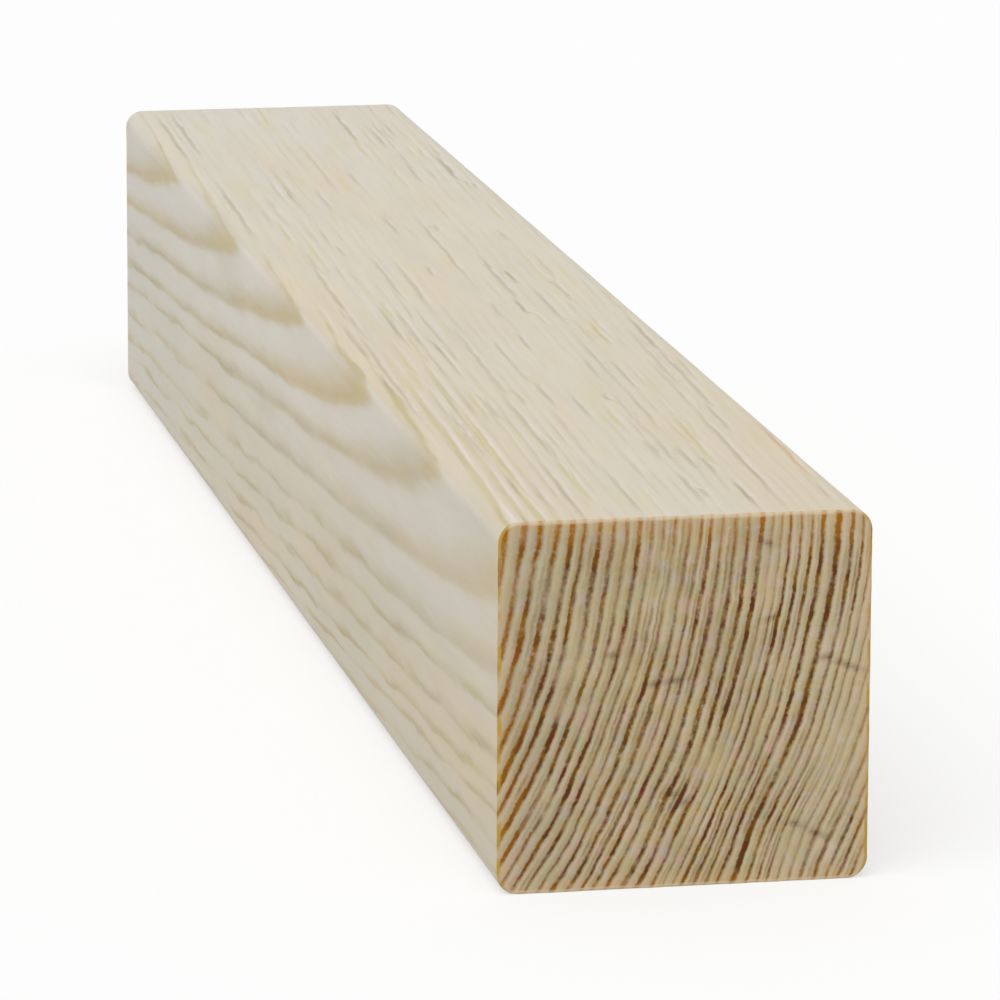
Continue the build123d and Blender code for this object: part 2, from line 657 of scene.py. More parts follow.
        # A flame rises over most of the year and falls at its edge. Away from the pith it narrows.
        narrowing = add("MapRange", (skin.facing, *self.narrowing))
        flame = add("Math", (rise, narrowing), operation="POWER")
        tone, shown = self.bands(skin, years, flame)

        # Resin tints stretches of the lines gold, and now and then the wood beside them.
        tint, fibre = skin.uneven["tint"], skin.uneven["fibre"]
        near_tint = add("Math", (skin.near_left, self.more_gold, tint), operation="MULTIPLY_ADD")
        gold = add("MapRange", (near_tint, *self.gold))
        line = add("Mix", {0: gold, 6: linear(self.line), 7: linear(self.gold_line)}, **COLOURS)
        summer = add("Mix", {0: skin.flat_sawn, 6: line, 7: self.flame_colour(skin)}, **COLOURS)
        resins = add("MapRange", (tint, *self.resins))
        resin_shown = add("Math", (resins, skin.quartered), operation="MULTIPLY")

        # The palest spring wood, with a painted ridge highlight, lies just outside the year's edge. Dark
        # fibres are over it all.
        pale = self.yearly(add, years, *self.pale_band)
        pale_highlight_run = add("Math", (pale, shown), operation="MULTIPLY")
        pale_shown = add("Math", (pale_highlight_run, skin.quartered), operation="MULTIPLY")
        dark_fibre = add("MapRange", (fibre, *self.dark_fibre))
        fibre_shown = add("Math", (dark_fibre, skin.quartered), operation="MULTIPLY")
        colour = self.broad_wood(skin, self.wood(skin, flame))
        for share, layer in (
                (tone, summer), (resin_shown, linear(self.resin)),
                (pale_shown, linear(self.pale_highlight_line)), (fibre_shown, linear(self.streak))):
            colour = add("Mix", {0: share, 6: colour, 7: layer}, **COLOURS)
        return self.close(material, add, self.streaked(skin, colour, flame), fibre, tone)

    def skin(self, add: Add, mm: Socket) -> PlanedSkin:
        """Gathers what the finish reads at each point.

        The fibres lean across the plank as the stem tapers, and the patterns follow them.

        Args:
            add: Adds a node to the material.
            mm: Places in millimetres.

        Returns:
            The sockets, by name.
        """
        across, along, up = [add("SeparateXYZ", (mm,), out=axis) for axis in "XYZ"]
        leaned = add("Math", (along, -self.grain_slope, across), operation="MULTIPLY_ADD")
        grain = add("CombineXYZ", (leaned, along, up))
        facing = add("Attribute", out="Fac", attribute_name="facing")
        flat_sawn = add("MapRange", (facing, *self.sawn_flat))
        quartered = add("Math", (1.0, flat_sawn), operation="SUBTRACT")
        beside = add("MapRange", (across, *self.beside))
        near_half = add("MapRange", (along, *self.nearer_half))
        near_left = add("Math", (beside, near_half), operation="MULTIPLY")
        uneven = {}
        for name in ("waver", "ripple", "fray", "patch", "cloud", "tint", "fibre", "kink", "mottle"):
            pattern: Pattern = getattr(self, name)
            place = add("VectorMath", (grain, pattern.size), operation="DIVIDE")
            uneven[name] = add("TexNoise", {
                "Vector": place, "Scale": 1.0, "Detail": pattern.detail, "Roughness": pattern.roughness})
        return PlanedSkin(
            add, across, along, up, grain, facing, flat_sawn, quartered, near_half, near_left, uneven)

    def years(self, skin: PlanedSkin) -> Socket:
        """Makes the ring lines uneven: they waver over a long way, ripple over a short one and fray.

        Args:
            skin: What the finish reads.

        Returns:
            The count of years, outwards from the pith side.
        """
        add = skin.add
        ripple = add("ValToRGB", (skin.facing,), stops=self.ripple_years)
        fray = add("MapRange", (skin.flat_sawn, *self.fray_years))
        years = add("Attribute", out="Fac", attribute_name="ring")
        for name, amount in (("waver", self.waver_years), ("ripple", ripple), ("fray", fray)):
            middle = add("Math", (skin.uneven[name], NOISE_MEAN), operation="SUBTRACT")
            years = add("Math", (middle, amount, years), operation="MULTIPLY_ADD")
        return years

    def bands(self, skin: PlanedSkin, years: Socket, flame: Socket) -> tuple[Socket, Socket]:
        """Draws the summer bands: thin lines on a quartered face, and flames on a flat-sawn one.

        Each line comes and goes along the grain, and in some stretches hardly shows, but
        more by the left arris towards the near end. Flames fade less.

        Args:
            skin: What the finish reads.
            years: The count of years.
            flame: How dark the year's flame is.

        Returns:
            How dark the band is, and how far the lines show there.
        """
        add = skin.add
        paces = add("Math", (skin.along, 1 / self.dash), operation="MULTIPLY")
        run = add("CombineXYZ", (years, paces))
        dash = add("TexNoise", {"Vector": run, "Scale": 1.0, "Detail": self.dash_detail})
        near_dash = add("Math", (skin.near_left, self.more_dashes, dash), operation="MULTIPLY_ADD")
        dashes = add("MapRange", (near_dash, *self.dashes))
        patch = skin.uneven["patch"]
        near_patch = add("Math", (skin.near_left, self.more_lines, patch), operation="MULTIPLY_ADD")
        stretches = add("MapRange", (near_patch, *self.stretches))
        shown = add("Math", (dashes, stretches), operation="MULTIPLY")
        thin = self.yearly(add, years, *self.line_band)
        lines = add("Math", (thin, shown), operation="MULTIPLY")

        fade_least = add("MapRange", (skin.facing, *self.fade_least))
        fade = add("MapRange", (dash, *self.fade, fade_least, 1.0))
        flames = add("Math", (flame, fade), operation="MULTIPLY")
        side_lines = add("MapRange", (skin.facing, *self.side_lines))
        lined_flames = add("Math", (lines, side_lines, flames), operation="MULTIPLY_ADD")
        nearness = add("MapRange", (skin.along, *self.nearness))
        high = add("MapRange", (skin.facing, *self.high))
        softness = add("Mix", {0: high, 2: self.low_softness, 3: nearness})
        soft_flames = add("Math", (lined_flames, softness), operation="MULTIPLY")
        band = add("Mix", {0: skin.flat_sawn, 2: lines, 3: soft_flames})
        strength = add("Attribute", out="Fac", attribute_name="latewood")
        return add("Math", (band, strength), operation="MULTIPLY", use_clamp=True), shown

    def wood(self, skin: PlanedSkin, flame: Socket) -> Socket:
        """Colours the wood between the lines, in clouds of warmer and duller wood.

        Args:
            skin: What the finish reads.
            flame: How dark the year's flame is.

        Returns:
            The colour.
        """
        add = skin.add
        spring = add("MapRange", (flame, *self.spring))
        palest = add("MapRange", (skin.along, *self.palest))
        spring_shown = add("Math", (spring, palest), operation="MULTIPLY")
        squarely = add("MapRange", (skin.facing, *self.squarely))
        paleness = add("Math", (spring_shown, squarely), operation="MULTIPLY")
        warmest = add("MapRange", (paleness, *self.warmest))
        warmth = add("MapRange", (skin.uneven["cloud"], *self.warmth, warmest))
        dulled = add("MapRange", (skin.uneven["cloud"], *self.dulled))
        dull = add("Math", (dulled, skin.flat_sawn), operation="MULTIPLY")
        wood = linear(self.quartered_wood)
        for share, colour in (
                (skin.flat_sawn, self.flat_wood), (paleness, self.pale_wood),
                (warmth, self.warm_wood), (dull, self.dull_wood)):
            wood = add("Mix", {0: share, 6: wood, 7: linear(colour)}, **COLOURS)
        brightness = add("MapRange", (skin.uneven["mottle"], *self.brightness))
        return add("HueSaturation", {"Value": brightness, "Color": wood})

    def broad_wood(self, skin: PlanedSkin, wood: Socket) -> Socket:
        """Colours broad parts: tan beside the near half's middle, dull below, cool at the far end.

        Args:
            skin: What the finish reads.
            wood: The colour of the wood between the lines.

        Returns:
            The colour.
        """
        add = skin.add
        sideward = add("Math", (skin.across,), operation="ABSOLUTE")
        outer = add("MapRange", (sideward, *self.outer))
        near_outer = add("Math", (outer, skin.near_half), operation="MULTIPLY")
        tanned = add("Math", (near_outer, skin.quartered), operation="MULTIPLY")
        low = add("MapRange", (skin.up, *self.low))
        near_low = add("Math", (low, skin.near_half), operation="MULTIPLY")
        dimmed = add("Math", (near_low, skin.flat_sawn), operation="MULTIPLY")
        coolest = add("MapRange", (skin.flat_sawn, *self.coolest))
        cooled = add("MapRange", (skin.along, *self.cooled, 0.0, coolest))
        for share, colour in (
                (tanned, self.tan_wood), (dimmed, self.dull_wood), (cooled, self.cool_wood)):
            wood = add("Mix", {0: share, 6: wood, 7: linear(colour)}, **COLOURS)
        return wood

    def flame_colour(self, skin: PlanedSkin) -> Socket:
        """Colours the flames: tan where they face the pith, greyer beside that and brown farther off.

        Args:
            skin: What the finish reads.

        Returns:
            The colour.
        """
        add = skin.add
        place = add("VectorMath", (skin.grain, self.cloud.size), operation="DIVIDE")
        hue = add("TexNoise", {
            "Vector": place, "Scale": 1.0, "Detail": self.hue_detail, "W": self.hue_seed},
            noise_dimensions="4D")
        shift = add("MapRange", (hue, *self.hue_shift))
        warm = add("Math", (skin.facing, shift), operation="ADD")
        return add("ValToRGB", (warm,), stops=(
            (self.brown_at, self.brown_flame), (self.tan_at, self.flame), (self.grey_at, self.grey_flame)))

    def streaked(self, skin: PlanedSkin, colour: Socket, flame: Socket) -> Socket:
        """Draws the single streaks, thin kinked lines with a pale painted highlight beside each.

        On a flame a streak tints the flame instead.

        Args:
            skin: What the finish reads.
            colour: The colour under the streaks.
            flame: How dark the year's flame is.

        Returns:
            The colour.
        """
        add = skin.add
        kinked = add("Math", (skin.uneven["kink"], NOISE_MEAN), operation="SUBTRACT")
        middle = add("Attribute", out="Fac", attribute_name="streak_off")
        off = add("Math", (kinked, self.kink_width, middle), operation="MULTIPLY_ADD")
        off_dark = add("Math", (off,), operation="ABSOLUTE")
        dark = add("MapRange", (off_dark, *self.streak_edge), **EASED)
        # The pale line beside each streak is a painted highlight.
        off_side = add("Math", (off, self.highlight_beside), operation="SUBTRACT")
        off_highlight = add("Math", (off_side,), operation="ABSOLUTE")
        light = add("MapRange", (off_highlight, *self.streak_edge), **EASED)
        highlight_shown = add("Math", (light, skin.quartered), operation="MULTIPLY")
        dark_shown = add("Mix", {0: skin.flat_sawn, 2: dark, 3: flame})
        ragged = add("MapRange", (skin.uneven["fibre"], *self.ragged))
        for stain, stained, profile in (
                (Stain.PALE_HIGHLIGHT, self.pale_highlight_line, highlight_shown), (Stain.GREY, self.line, dark_shown),
                (Stain.GOLD, self.gold_line, dark_shown), (Stain.OCHRE, self.ochre_line, dark_shown)):
            share = add("Attribute", out="Fac", attribute_name=stain.value)
            shaped = add("Math", (share, profile), operation="MULTIPLY")
            amount = add("Math", (shaped, ragged), operation="MULTIPLY", use_clamp=True)
            colour = add("Mix", {0: amount, 6: colour, 7: linear(stained)}, **COLOURS)
        return colour


@dataclass(frozen=True)
class SawnEndGrain(WoodFinish):
    """Pine sawn across the grain: darker, dry and open, with every year's line in full contrast.

    A saw across the grain cuts the fibres open. They drink light, so the end is darker
    than the faces, and the dense summer wood stands out in uneven brown lines among torn
    and flecked spring wood.
    """

    name: str = "sawn_pine_end_grain"
    roughness: Ramp = (0.72, 0.9)
    gloss: float = 0.2
    fibre_height: float = 0.6
    relief: float = 0.06
    relief_strength: float = 0.35

    base: str = "#BDA97E"
    green_base: str = "#B6AE86"
    pink_base: str = "#C8AC93"
    lilac_base: str = "#C0B09D"
    pale_base: str = "#D3C8A6"
    sap_base: str = "#D6C9AC"
    heart_base: str = "#B4AC96"
    rim_base: str = "#D0B892"
    side_edge: str = "#BE9A40"
    # The cream of the top and bottom edges is partly a painted highlight on the broken arris.
    top_edge_and_highlight: str = "#E2D2B2"
    red_line: str = "#6C2E10"
    brown_line: str = "#5E3A0A"
    ochre_line: str = "#84580E"
    grey_line: str = "#725824"
    rim_line: str = "#B0700A"
    fleck: str = "#D8CFB6"
    tear: str = "#4E3212"

    # Sizes of the patterns. Cut fibres are too fine to show, so their specks are drawn coarser.
    waver: float = 2.5
    fray: float = 0.38
    dash: float = 4.5
    blotch: float = 1.8
    hue: float = 2.5
    speck: float = 0.6
    clump: float = 5.0
    mood: float = 5.5
    dash_detail: float = 4.0
    dash_roughness: float = 0.68
    soft_scale: float = 0.4
    false_scale: float = 0.55
    false_seed: float = 3.0
    mood_seed: float = 7.0
    coarse: float = 1.0
    fine: float = 2.0

    # Bands in each year: how far before its edge they lie, and where they fade and end.
    line_shift: float = 0.14
    false_band: Size = (0.55, 0.02, 0.18)
    pale_band: Size = (0.72, 0.05, 0.2)
    shoulder: Stops = ((0.3, 0.0), (0.98, 0.0), (0.75, 0.24), (0.9, 0.24))
    waver_years: float = 0.28
    fray_years: float = 0.15

    # Ramps over the latewood's strength.
    half_width: Ramp = (*STRENGTHS, 0.22, 0.34)
    darkness: Ramp = (*STRENGTHS, 0.54, 1.14)

    # Ramps over places on the end, and over the distance from its rim.
    outer: Ramp = (6.0, 17.0, 0.0, 0.2)
    pithside: Ramp = (-8.0, -18.0, 0.0, 0.3)
    pithward: Ramp = (-21.0, -16.5, 0.5, 0.0)
    topward: Ramp = (43.6, 38.5, 0.9, 0.0)
    beside: Ramp = (20.3, 21.3)
    near_rim: Ramp = (0.3, 2.0, 0.6, 0.0)
    at_edge: Ramp = (0.1, 0.42, 1.0, 0.0)
    # How much the cream edge, partly a painted highlight, shows above and below.
    top_edge_share: float = 0.5

    # Ramps over the uneven patterns and the lines.
    core_share: Ramp = (0.35, 0.6, -0.3, 0.25)
    dashes: Ramp = (0.33, 0.62, 0.66, 1.2)
    false_shown: Ramp = (0.5, 0.68, 0.0, 0.4)
    grit: Ramp = (0.3, 0.7, 1.15, 0.85)
    pale_shown: Ramp = (0.35, 0.6, 0.1, 0.4)
    deep: Ramp = (1.1, 1.8, 0.0, 0.6)
    blotched: Ramp = (0.42, 0.56, 0.1, 1.0)
    clumps: Ramp = (0.45, 0.65, 0.08, 0.45)
    specks: Ramp = (0.6, 0.85, 0.0)
    torn_line: Ramp = (0.0, 1.0, 0.42, 1.1)
    green: Ramp = (0.47, 0.64)
    pink: Ramp = (0.5, 0.68)
    lilac: Ramp = (0.52, 0.7)
    brightness: Ramp = (0.35, 0.65, 0.9, 1.09)
    red_at: float = 0.37
    brown_at: float = 0.48
    ochre_at: float = 0.6
    grey_at: float = 0.7

    def material(self) -> bpy.types.Material:
        """Builds the node material.

        Returns:
            The material of the two sawn ends.
        """
        material, add, mm = self.begin()
        across, up = [add("SeparateXYZ", (mm,), out=axis) for axis in "XZ"]
        rim = add("Attribute", out="Fac", attribute_name="rim")
        speck = add("TexNoise", {"Vector": mm, "Scale": 1 / self.speck, "Detail": self.coarse})
        hue = add("TexNoise", {"Vector": mm, "Scale": 1 / self.hue, "Detail": self.fine})
        tone, pale, deep = self.lines(add, mm, speck)

        # The wood is paler near the rim and on the sap side, and greyer towards the pith.
        outer = add("MapRange", (across, *self.outer))
        pithside = add("MapRange", (across, *self.pithside))
        near_rim = add("MapRange", (rim, *self.near_rim))
        spring = self.spring_wood(add, mm)
        for share, colour in (
                (pale, self.pale_base), (outer, self.sap_base),
                (pithside, self.heart_base), (near_rim, self.rim_base)):
            spring = add("Mix", {0: share, 6: spring, 7: linear(colour)}, **COLOURS)

        # The lines run from red-brown to grey-brown, and turn ochre by the pith, the top and the rim.
        pithward = add("MapRange", (across, *self.pithward))
        topward = add("MapRange", (up, *self.topward))
        warm_side = add("Math", (pithward, topward), operation="MAXIMUM")
        warm = add("Math", (warm_side, near_rim), operation="MAXIMUM")
        line = add("ValToRGB", (hue,), stops=(
            (self.red_at, self.red_line), (self.grey_at, self.grey_line),
            (self.brown_at, self.brown_line), (self.ochre_at, self.ochre_line)))
        line_rim = add("Mix", {0: warm, 6: line, 7: linear(self.rim_line)}, **COLOURS)

        # The broken edge is cream above and below, partly the wood's fuzz and partly a painted highlight on
        # its arris, and blotched with resin at the sides.
        sideward = add("Math", (across,), operation="ABSOLUTE")
        beside = add("MapRange", (sideward, *self.beside))
        edge = add("Mix", {0: beside, 6: linear(self.top_edge_and_highlight), 7: linear(self.side_edge)}, **COLOURS)
        blotched = add("MapRange", (hue, *self.blotched))
        edge_share = add("Mix", {0: beside, 2: self.top_edge_share, 3: blotched})
        at_edge = add("MapRange", (rim, *self.at_edge))
        edge_shown = add("Math", (at_edge, edge_share), operation="MULTIPLY")

        # Pale torn flecks, and the few dark tears where the saw caught the fibres.
        clump = add("TexNoise", {"Vector": mm, "Scale": 1 / self.clump, "Detail": self.coarse})
        clumps = add("MapRange", (clump, *self.clumps))
        specks = add("MapRange", (speck, *self.specks, clumps))
        tear = add("Attribute", out="Fac", attribute_name="tear")
        torn_line = add("MapRange", (tone, *self.torn_line))
        tears = add("Math", (tear, torn_line), operation="MULTIPLY", use_clamp=True)
        dark = add("Math", (tears, deep), operation="MAXIMUM")
        colour = spring
        for share, layer in (
                (tone, line_rim), (edge_shown, edge),
                (specks, linear(self.fleck)), (dark, linear(self.tear))):
            colour = add("Mix", {0: share, 6: colour, 7: layer}, **COLOURS)
        return self.close(material, add, colour, speck, tone)

    def lines(self, add: Add, mm: Socket, speck: Socket) -> tuple[Socket, Socket, Socket]:
        """Draws each year's dark line, uneven in its run, its edges and its strength.

        Each line is darker and lighter by turns, and softer for a longer way. Here and
        there a dry spell left a faint false line in the middle of a year. The first growth
        of the next spring is the palest.

        Args:
            add: Adds a node to the material.
            mm: Places in millimetres.
            speck: The fine unevenness of the cut fibres.

        Returns:
            How dark the line is at each place, how pale the first spring wood after it
            and how far the line is darker still, from zero to one.
        """
        strength, counted, arc, shade = [
            add("Attribute", out="Fac", attribute_name=name)
            for name in ("latewood", "ring", "arc", "shade")]
        years = counted
        for size, amount in ((self.waver, self.waver_years), (self.fray, self.fray_years)):
            noise = add("TexNoise", {"Vector": mm, "Scale": 1 / size, "Detail": self.coarse})
            middle = add("Math", (noise, NOISE_MEAN), operation="SUBTRACT")
            years = add("Math", (middle, amount, years), operation="MULTIPLY_ADD")

        paces = add("Math", (arc, 1 / self.dash), operation="MULTIPLY")
        run = add("CombineXYZ", (counted, paces))
        dash = add("TexNoise", {
            "Vector": run, "Scale": 1.0, "Detail": self.dash_detail, "Roughness": self.dash_roughness})
        softness = add("TexNoise", {"Vector": run, "Scale": self.soft_scale, "Detail": self.coarse})
        half_width = add("MapRange", (strength, *self.half_width))
        core_share = add("MapRange", (softness, *self.core_share))
        core = add("Math", (half_width, core_share), operation="MULTIPLY")
        band = self.yearly(add, years, self.line_shift, core, half_width)
        phase = add("Math", (years,), operation="FRACT")
        shoulder = add("ValToRGB", (phase,), stops=self.shoulder)
        rising = add("Math", (shoulder, band), operation="MAXIMUM")
        dashes = add("MapRange", (dash, *self.dashes))
        shown = add("Math", (rising, dashes), operation="MULTIPLY")
        darkness = add("MapRange", (strength, *self.darkness))
        dark = add("Math", (darkness, shade), operation="MULTIPLY")
        lines = add("Math", (shown, dark), operation="MULTIPLY")

        false_band = self.yearly(add, years, *self.false_band)
        false_run = add("TexNoise", {
            "Vector": run, "Scale": self.false_scale, "Detail": self.fine, "W": self.false_seed},
            noise_dimensions="4D")
        false_shown = add("MapRange", (false_run, *self.false_shown))
        both = add("Math", (false_band, false_shown, lines), operation="MULTIPLY_ADD")
        grit = add("MapRange", (speck, *self.grit))
        tone = add("Math", (both, grit), operation="MULTIPLY", use_clamp=True)

        pale_band = self.yearly(add, years, *self.pale_band)
        pale_shown = add("MapRange", (dash, *self.pale_shown))
        pale = add("Math", (pale_band, pale_shown), operation="MULTIPLY")
        return tone, pale, add("MapRange", (lines, *self.deep))

    def spring_wood(self, add: Add, mm: Socket) -> Socket:
        """Colours the spring wood in faint blotches of green, pink and lilac beige.

        Args:
            add: Adds a node to the material.
            mm: Places in millimetres.

        Returns:
            The colour.
        """
        blotch = add("TexNoise", {"Vector": mm, "Scale": 1 / self.blotch, "Detail": self.fine}, out="Color")
        wood = linear(self.base)
        for channel, colour, ramp in (
                ("Red", self.green_base, self.green), ("Green", self.pink_base, self.pink),
                ("Blue", self.lilac_base, self.lilac)):
            share = add("SeparateColor", (blotch,), out=channel)
            amount = add("MapRange", (share, *ramp))
            wood = add("Mix", {0: amount, 6: wood, 7: linear(colour)}, **COLOURS)
        mood = add("TexNoise", {
            "Vector": mm, "Scale": 1 / self.mood, "Detail": self.fine, "W": self.mood_seed},
            noise_dimensions="4D")
        brightness = add("MapRange", (mood, *self.brightness))
        return add("HueSaturation", {"Value": brightness, "Color": wood})


class Finish(Enum):
    """The plank's two surfaces, in the order of its material slots."""

    PLANED = 0
    SAWN = 1


@dataclass
class Plank:
    """The sawn and planed length: four long faces with rounded arrises between two sawn ends."""

    width: float
    length: float
    height: float
    base: float
    near: float
    arris: float = 2.5
    end_break: float = 0.3
    break_least: float = 0.55
    break_waves: Size = (6.0, 6.0, 6.0)
    break_seed: int = 5
    arc_cells: int = 8
    straight_cells: int = 120
    stations: int = 112
    break_cells: int = 3

    # Depths of the relief, and how far from the edges it dies away.
    face_relief: float = 0.03
    face_fade: float = 1.5
    end_relief: float = 0.07
    end_fade: float = 0.8
    ring_share: float = 0.7
    ring_peak: float = 0.88
    drag_waves: Size = (9.0, 50.0, 1.3)
    drag_seed: int = 23
    tear_depth: float = 0.12
    tear_width: float = 0.27

    # How the streaks on the top and left faces climb along the grain, and reach across it.
    top_slope: float = 0.036
    left_slope: float = -0.05
    top_reach: float = 0.55
    left_reach: float = 1.3

    # Where the strip of faces and the two ends lie on the square bake map.
    map_margin: float = 0.005
    map_strip: tuple[float, float] = (0.99, 0.57)
    map_end: float = 0.4
    map_end_up: float = 0.59
    map_far_right: float = 0.825
    growth: Growth = Growth()

    @property
    def side_cells(self) -> int:
        """Counts the cells along one side of the section, with half an arris at each end."""
        return self.straight_cells + self.arc_cells

    def section(self) -> tuple[np.ndarray, np.ndarray]:
        """Draws the planed section: a rectangle whose corners are quarter rounds.

        Each side runs from the middle of one arris to the middle of the next: an eighth
        of a circle, a straight line and another eighth. The four sides are the same
        outline turned by quarter turns, from the bottom one round by the right.

        Returns:
            Points and outward normals round the section's centre, across and up.
        """
        half_cells = self.arc_cells // 2
        down, eighth = -np.pi / 2, np.pi / 4
        first = np.linspace(down - eighth, down, half_cells, endpoint=False)
        second = np.linspace(down, down + eighth, half_cells, endpoint=False)
        angles = np.concatenate([first, np.full(self.straight_cells, down), second])
        normal = np.stack([np.cos(angles), np.sin(angles)], axis=-1)
        points, normals = [], []
        for turn in range(4):
            run, drop = (self.width, self.height) if turn % 2 == 0 else (self.height, self.width)
            half_run, half_drop = run / 2 - self.arris, drop / 2 - self.arris
            straight = np.linspace(-half_run, half_run, self.straight_cells, endpoint=False)
            centres = np.concatenate([
                np.full(half_cells, -half_run), straight, np.full(half_cells, half_run)])
            point = np.stack([centres, np.full(len(centres), -half_drop)], axis=-1) + self.arris * normal
            quarter = np.array(Matrix.Rotation(turn * math.pi / 2, 2))
            points.append(point @ quarter.T)
            normals.append(normal @ quarter.T)
        return np.concatenate(points), np.concatenate(normals)

    def ridge(self, points: np.ndarray) -> np.ndarray:
        """Gives the relief that the rings leave: one on a year's latewood, zero on its spring wood.

        It is a cosine of the ring count that peaks just inside each year's outer edge.

        Args:
            points: Across, along and up, in the plank's own measures.

        Returns:
            A share from zero to one for each point.
        """
        ring = self.growth.ring(self.growth.radius(*points.T))
        strength = np.clip(self.growth.latewood(ring), 0.0, 1.0)
        return strength * (0.5 + 0.5 * np.cos(2 * np.pi * (ring - self.ring_peak)))

    def long_faces(self) -> tuple[np.ndarray, np.ndarray, np.ndarray]:
        """Carries the section along the grain, with a rounded break at each sawn end.

        The first rows turn from the near end's rim to the faces on a quarter round of the
        break's own radius, which varies round the rim as a saw leaves it. The straight
        rows follow, and the far break ends the tube. Relief is cut inwards between the
        summer bands and dies away at the ends.

        Returns:
            Points and normals, each with rows along the grain and columns round the
            section, and each row's distance from its sawn end.
        """
        outline, outward = self.section()
        rim_points = np.stack([outline[:, 0], np.zeros(len(outline)), outline[:, 1]], axis=-1)
        uneven = np.clip(0.5 + 0.5 * waves(rim_points, self.break_waves, self.break_seed), 0.0, 1.0)
        size = self.end_break * (self.break_least + (1 - self.break_least) * uneven)

        turns = np.linspace(np.pi / 2, 0, self.break_cells + 1)
        straight = np.zeros(self.stations - 1)
        shares = np.linspace(0, 1, self.stations + 1)[1:-1, None]
        inset = np.concatenate([1 - np.cos(turns), straight, (1 - np.cos(turns))[::-1]])
        lean = np.concatenate([np.sin(turns), straight, -np.sin(turns)[::-1]])
        start = (1 - np.sin(turns))[:, None]
        along = np.concatenate([
            start * size, shares * (self.length - 2 * size) + size, self.length - start[::-1] * size])
        reach = outline[None] - inset[:, None, None] * size[None, :, None] * outward[None]
        points = np.stack([reach[..., 0], along, reach[..., 1]], axis=-1)
        upright = np.sqrt(1 - lean ** 2)[:, None]
        normals = np.stack([
            outward[None, :, 0] * upright,
            np.broadcast_to(-lean[:, None], along.shape),
            outward[None, :, 1] * upright], axis=-1)

        from_end = np.minimum(along, self.length - along)
        fade = np.clip((from_end - self.end_break) / self.face_fade, 0, 1)
        hollow = 1 - self.ridge(points.reshape(-1, 3)).reshape(along.shape)
        points = points - (self.face_relief * hollow * fade)[..., None] * normals
        return points, normals, from_end

    def rim_distance(self, across: np.ndarray, up: np.ndarray) -> np.ndarray:
        """Measures how far inside the section's rounded outline each point lies.

        Args:
            across: Distance right of the section's centre.
            up: Distance above the section's centre.

        Returns:
            The distance, which is negative outside.
        """
        right = np.abs(across) - (self.width / 2 - self.arris)
        above = np.abs(up) - (self.height / 2 - self.arris)
        outside = np.hypot(np.maximum(right, 0), np.maximum(above, 0))
        inside = np.minimum(np.maximum(right, above), 0)
        return self.arris - outside - inside

    def torn(self, points: np.ndarray) -> np.ndarray:
        """Says how torn the sawn ends are at each point, where the deepest tear counts.

        The far end has the near end's tears, turned half round.

        Args:
            points: Across, along and up, in the plank's own measures.

        Returns:
            A share from zero to one for each point.
        """
        side = np.where(points[:, 1] < self.length / 2, 1.0, -1.0)
        torn = np.zeros(len(points))
        for tear in TEARS:
            torn = np.maximum(torn, tear.at(points[:, 0] * side, points[:, 2] * side, self.tear_width))
        return torn

    def streaks(self, points: np.ndarray, normals: np.ndarray) -> dict[str, np.ndarray]:
        """Lays the streaks on the top and left faces.

        Along the grain a streak is a bell with a flat top, and across it a bell about a
        line that follows the fibres. The finish draws the thin line itself inside it,
        from the distance to the middle of the deepest streak. Where two are as deep, the
        distance jumps from one to the other, so both die away there.

        Args:
            points: Across, along and up, in the plank's own measures.
            normals: The outward directions at the points.

        Returns:
            By attribute, each stain's share and the painted highlight's share from zero to one, and the
            distance.
        """
        across, along, up = points.T
        faces = (
            (TOP_STREAKS, across, normals[:, 2], self.top_slope, self.top_reach),
            (LEFT_STREAKS, up, -normals[:, 0], self.left_slope, self.left_reach))
        shares = {stain.value: np.zeros(len(points)) for stain in Stain}
        deepest = np.zeros(len(points))
        second = np.zeros(len(points))
        distance = np.full(len(points), self.width)
        for streaks, place, squarely, slope, reach in faces:
            shown = np.clip(2 * squarely - 1, 0, 1)
            for stain, runs in streaks.items():
                for middle, first, last, depth in runs:
                    centre = (first + last) / 2
                    off = place - middle - slope * (along - centre)
                    run = (along - centre) / (last - centre)
                    share = depth * shown * np.exp(-run ** 4 - 0.5 * (off / reach) ** 2)
                    shares[stain.value] = np.maximum(shares[stain.value], share)
                    distance = np.where(share > deepest, off, distance)
                    second = np.maximum(second, np.minimum(deepest, share))
                    deepest = np.maximum(deepest, share)
        # The painted highlight beside each streak follows the deepest streak.
        shares[Stain.PALE_HIGHLIGHT.value] = deepest
        clear = np.clip(2 * (1 - second / np.maximum(deepest, 1e-6)), 0, 1)
        return {**{name: share * clear for name, share in shares.items()}, "streak_off": distance}

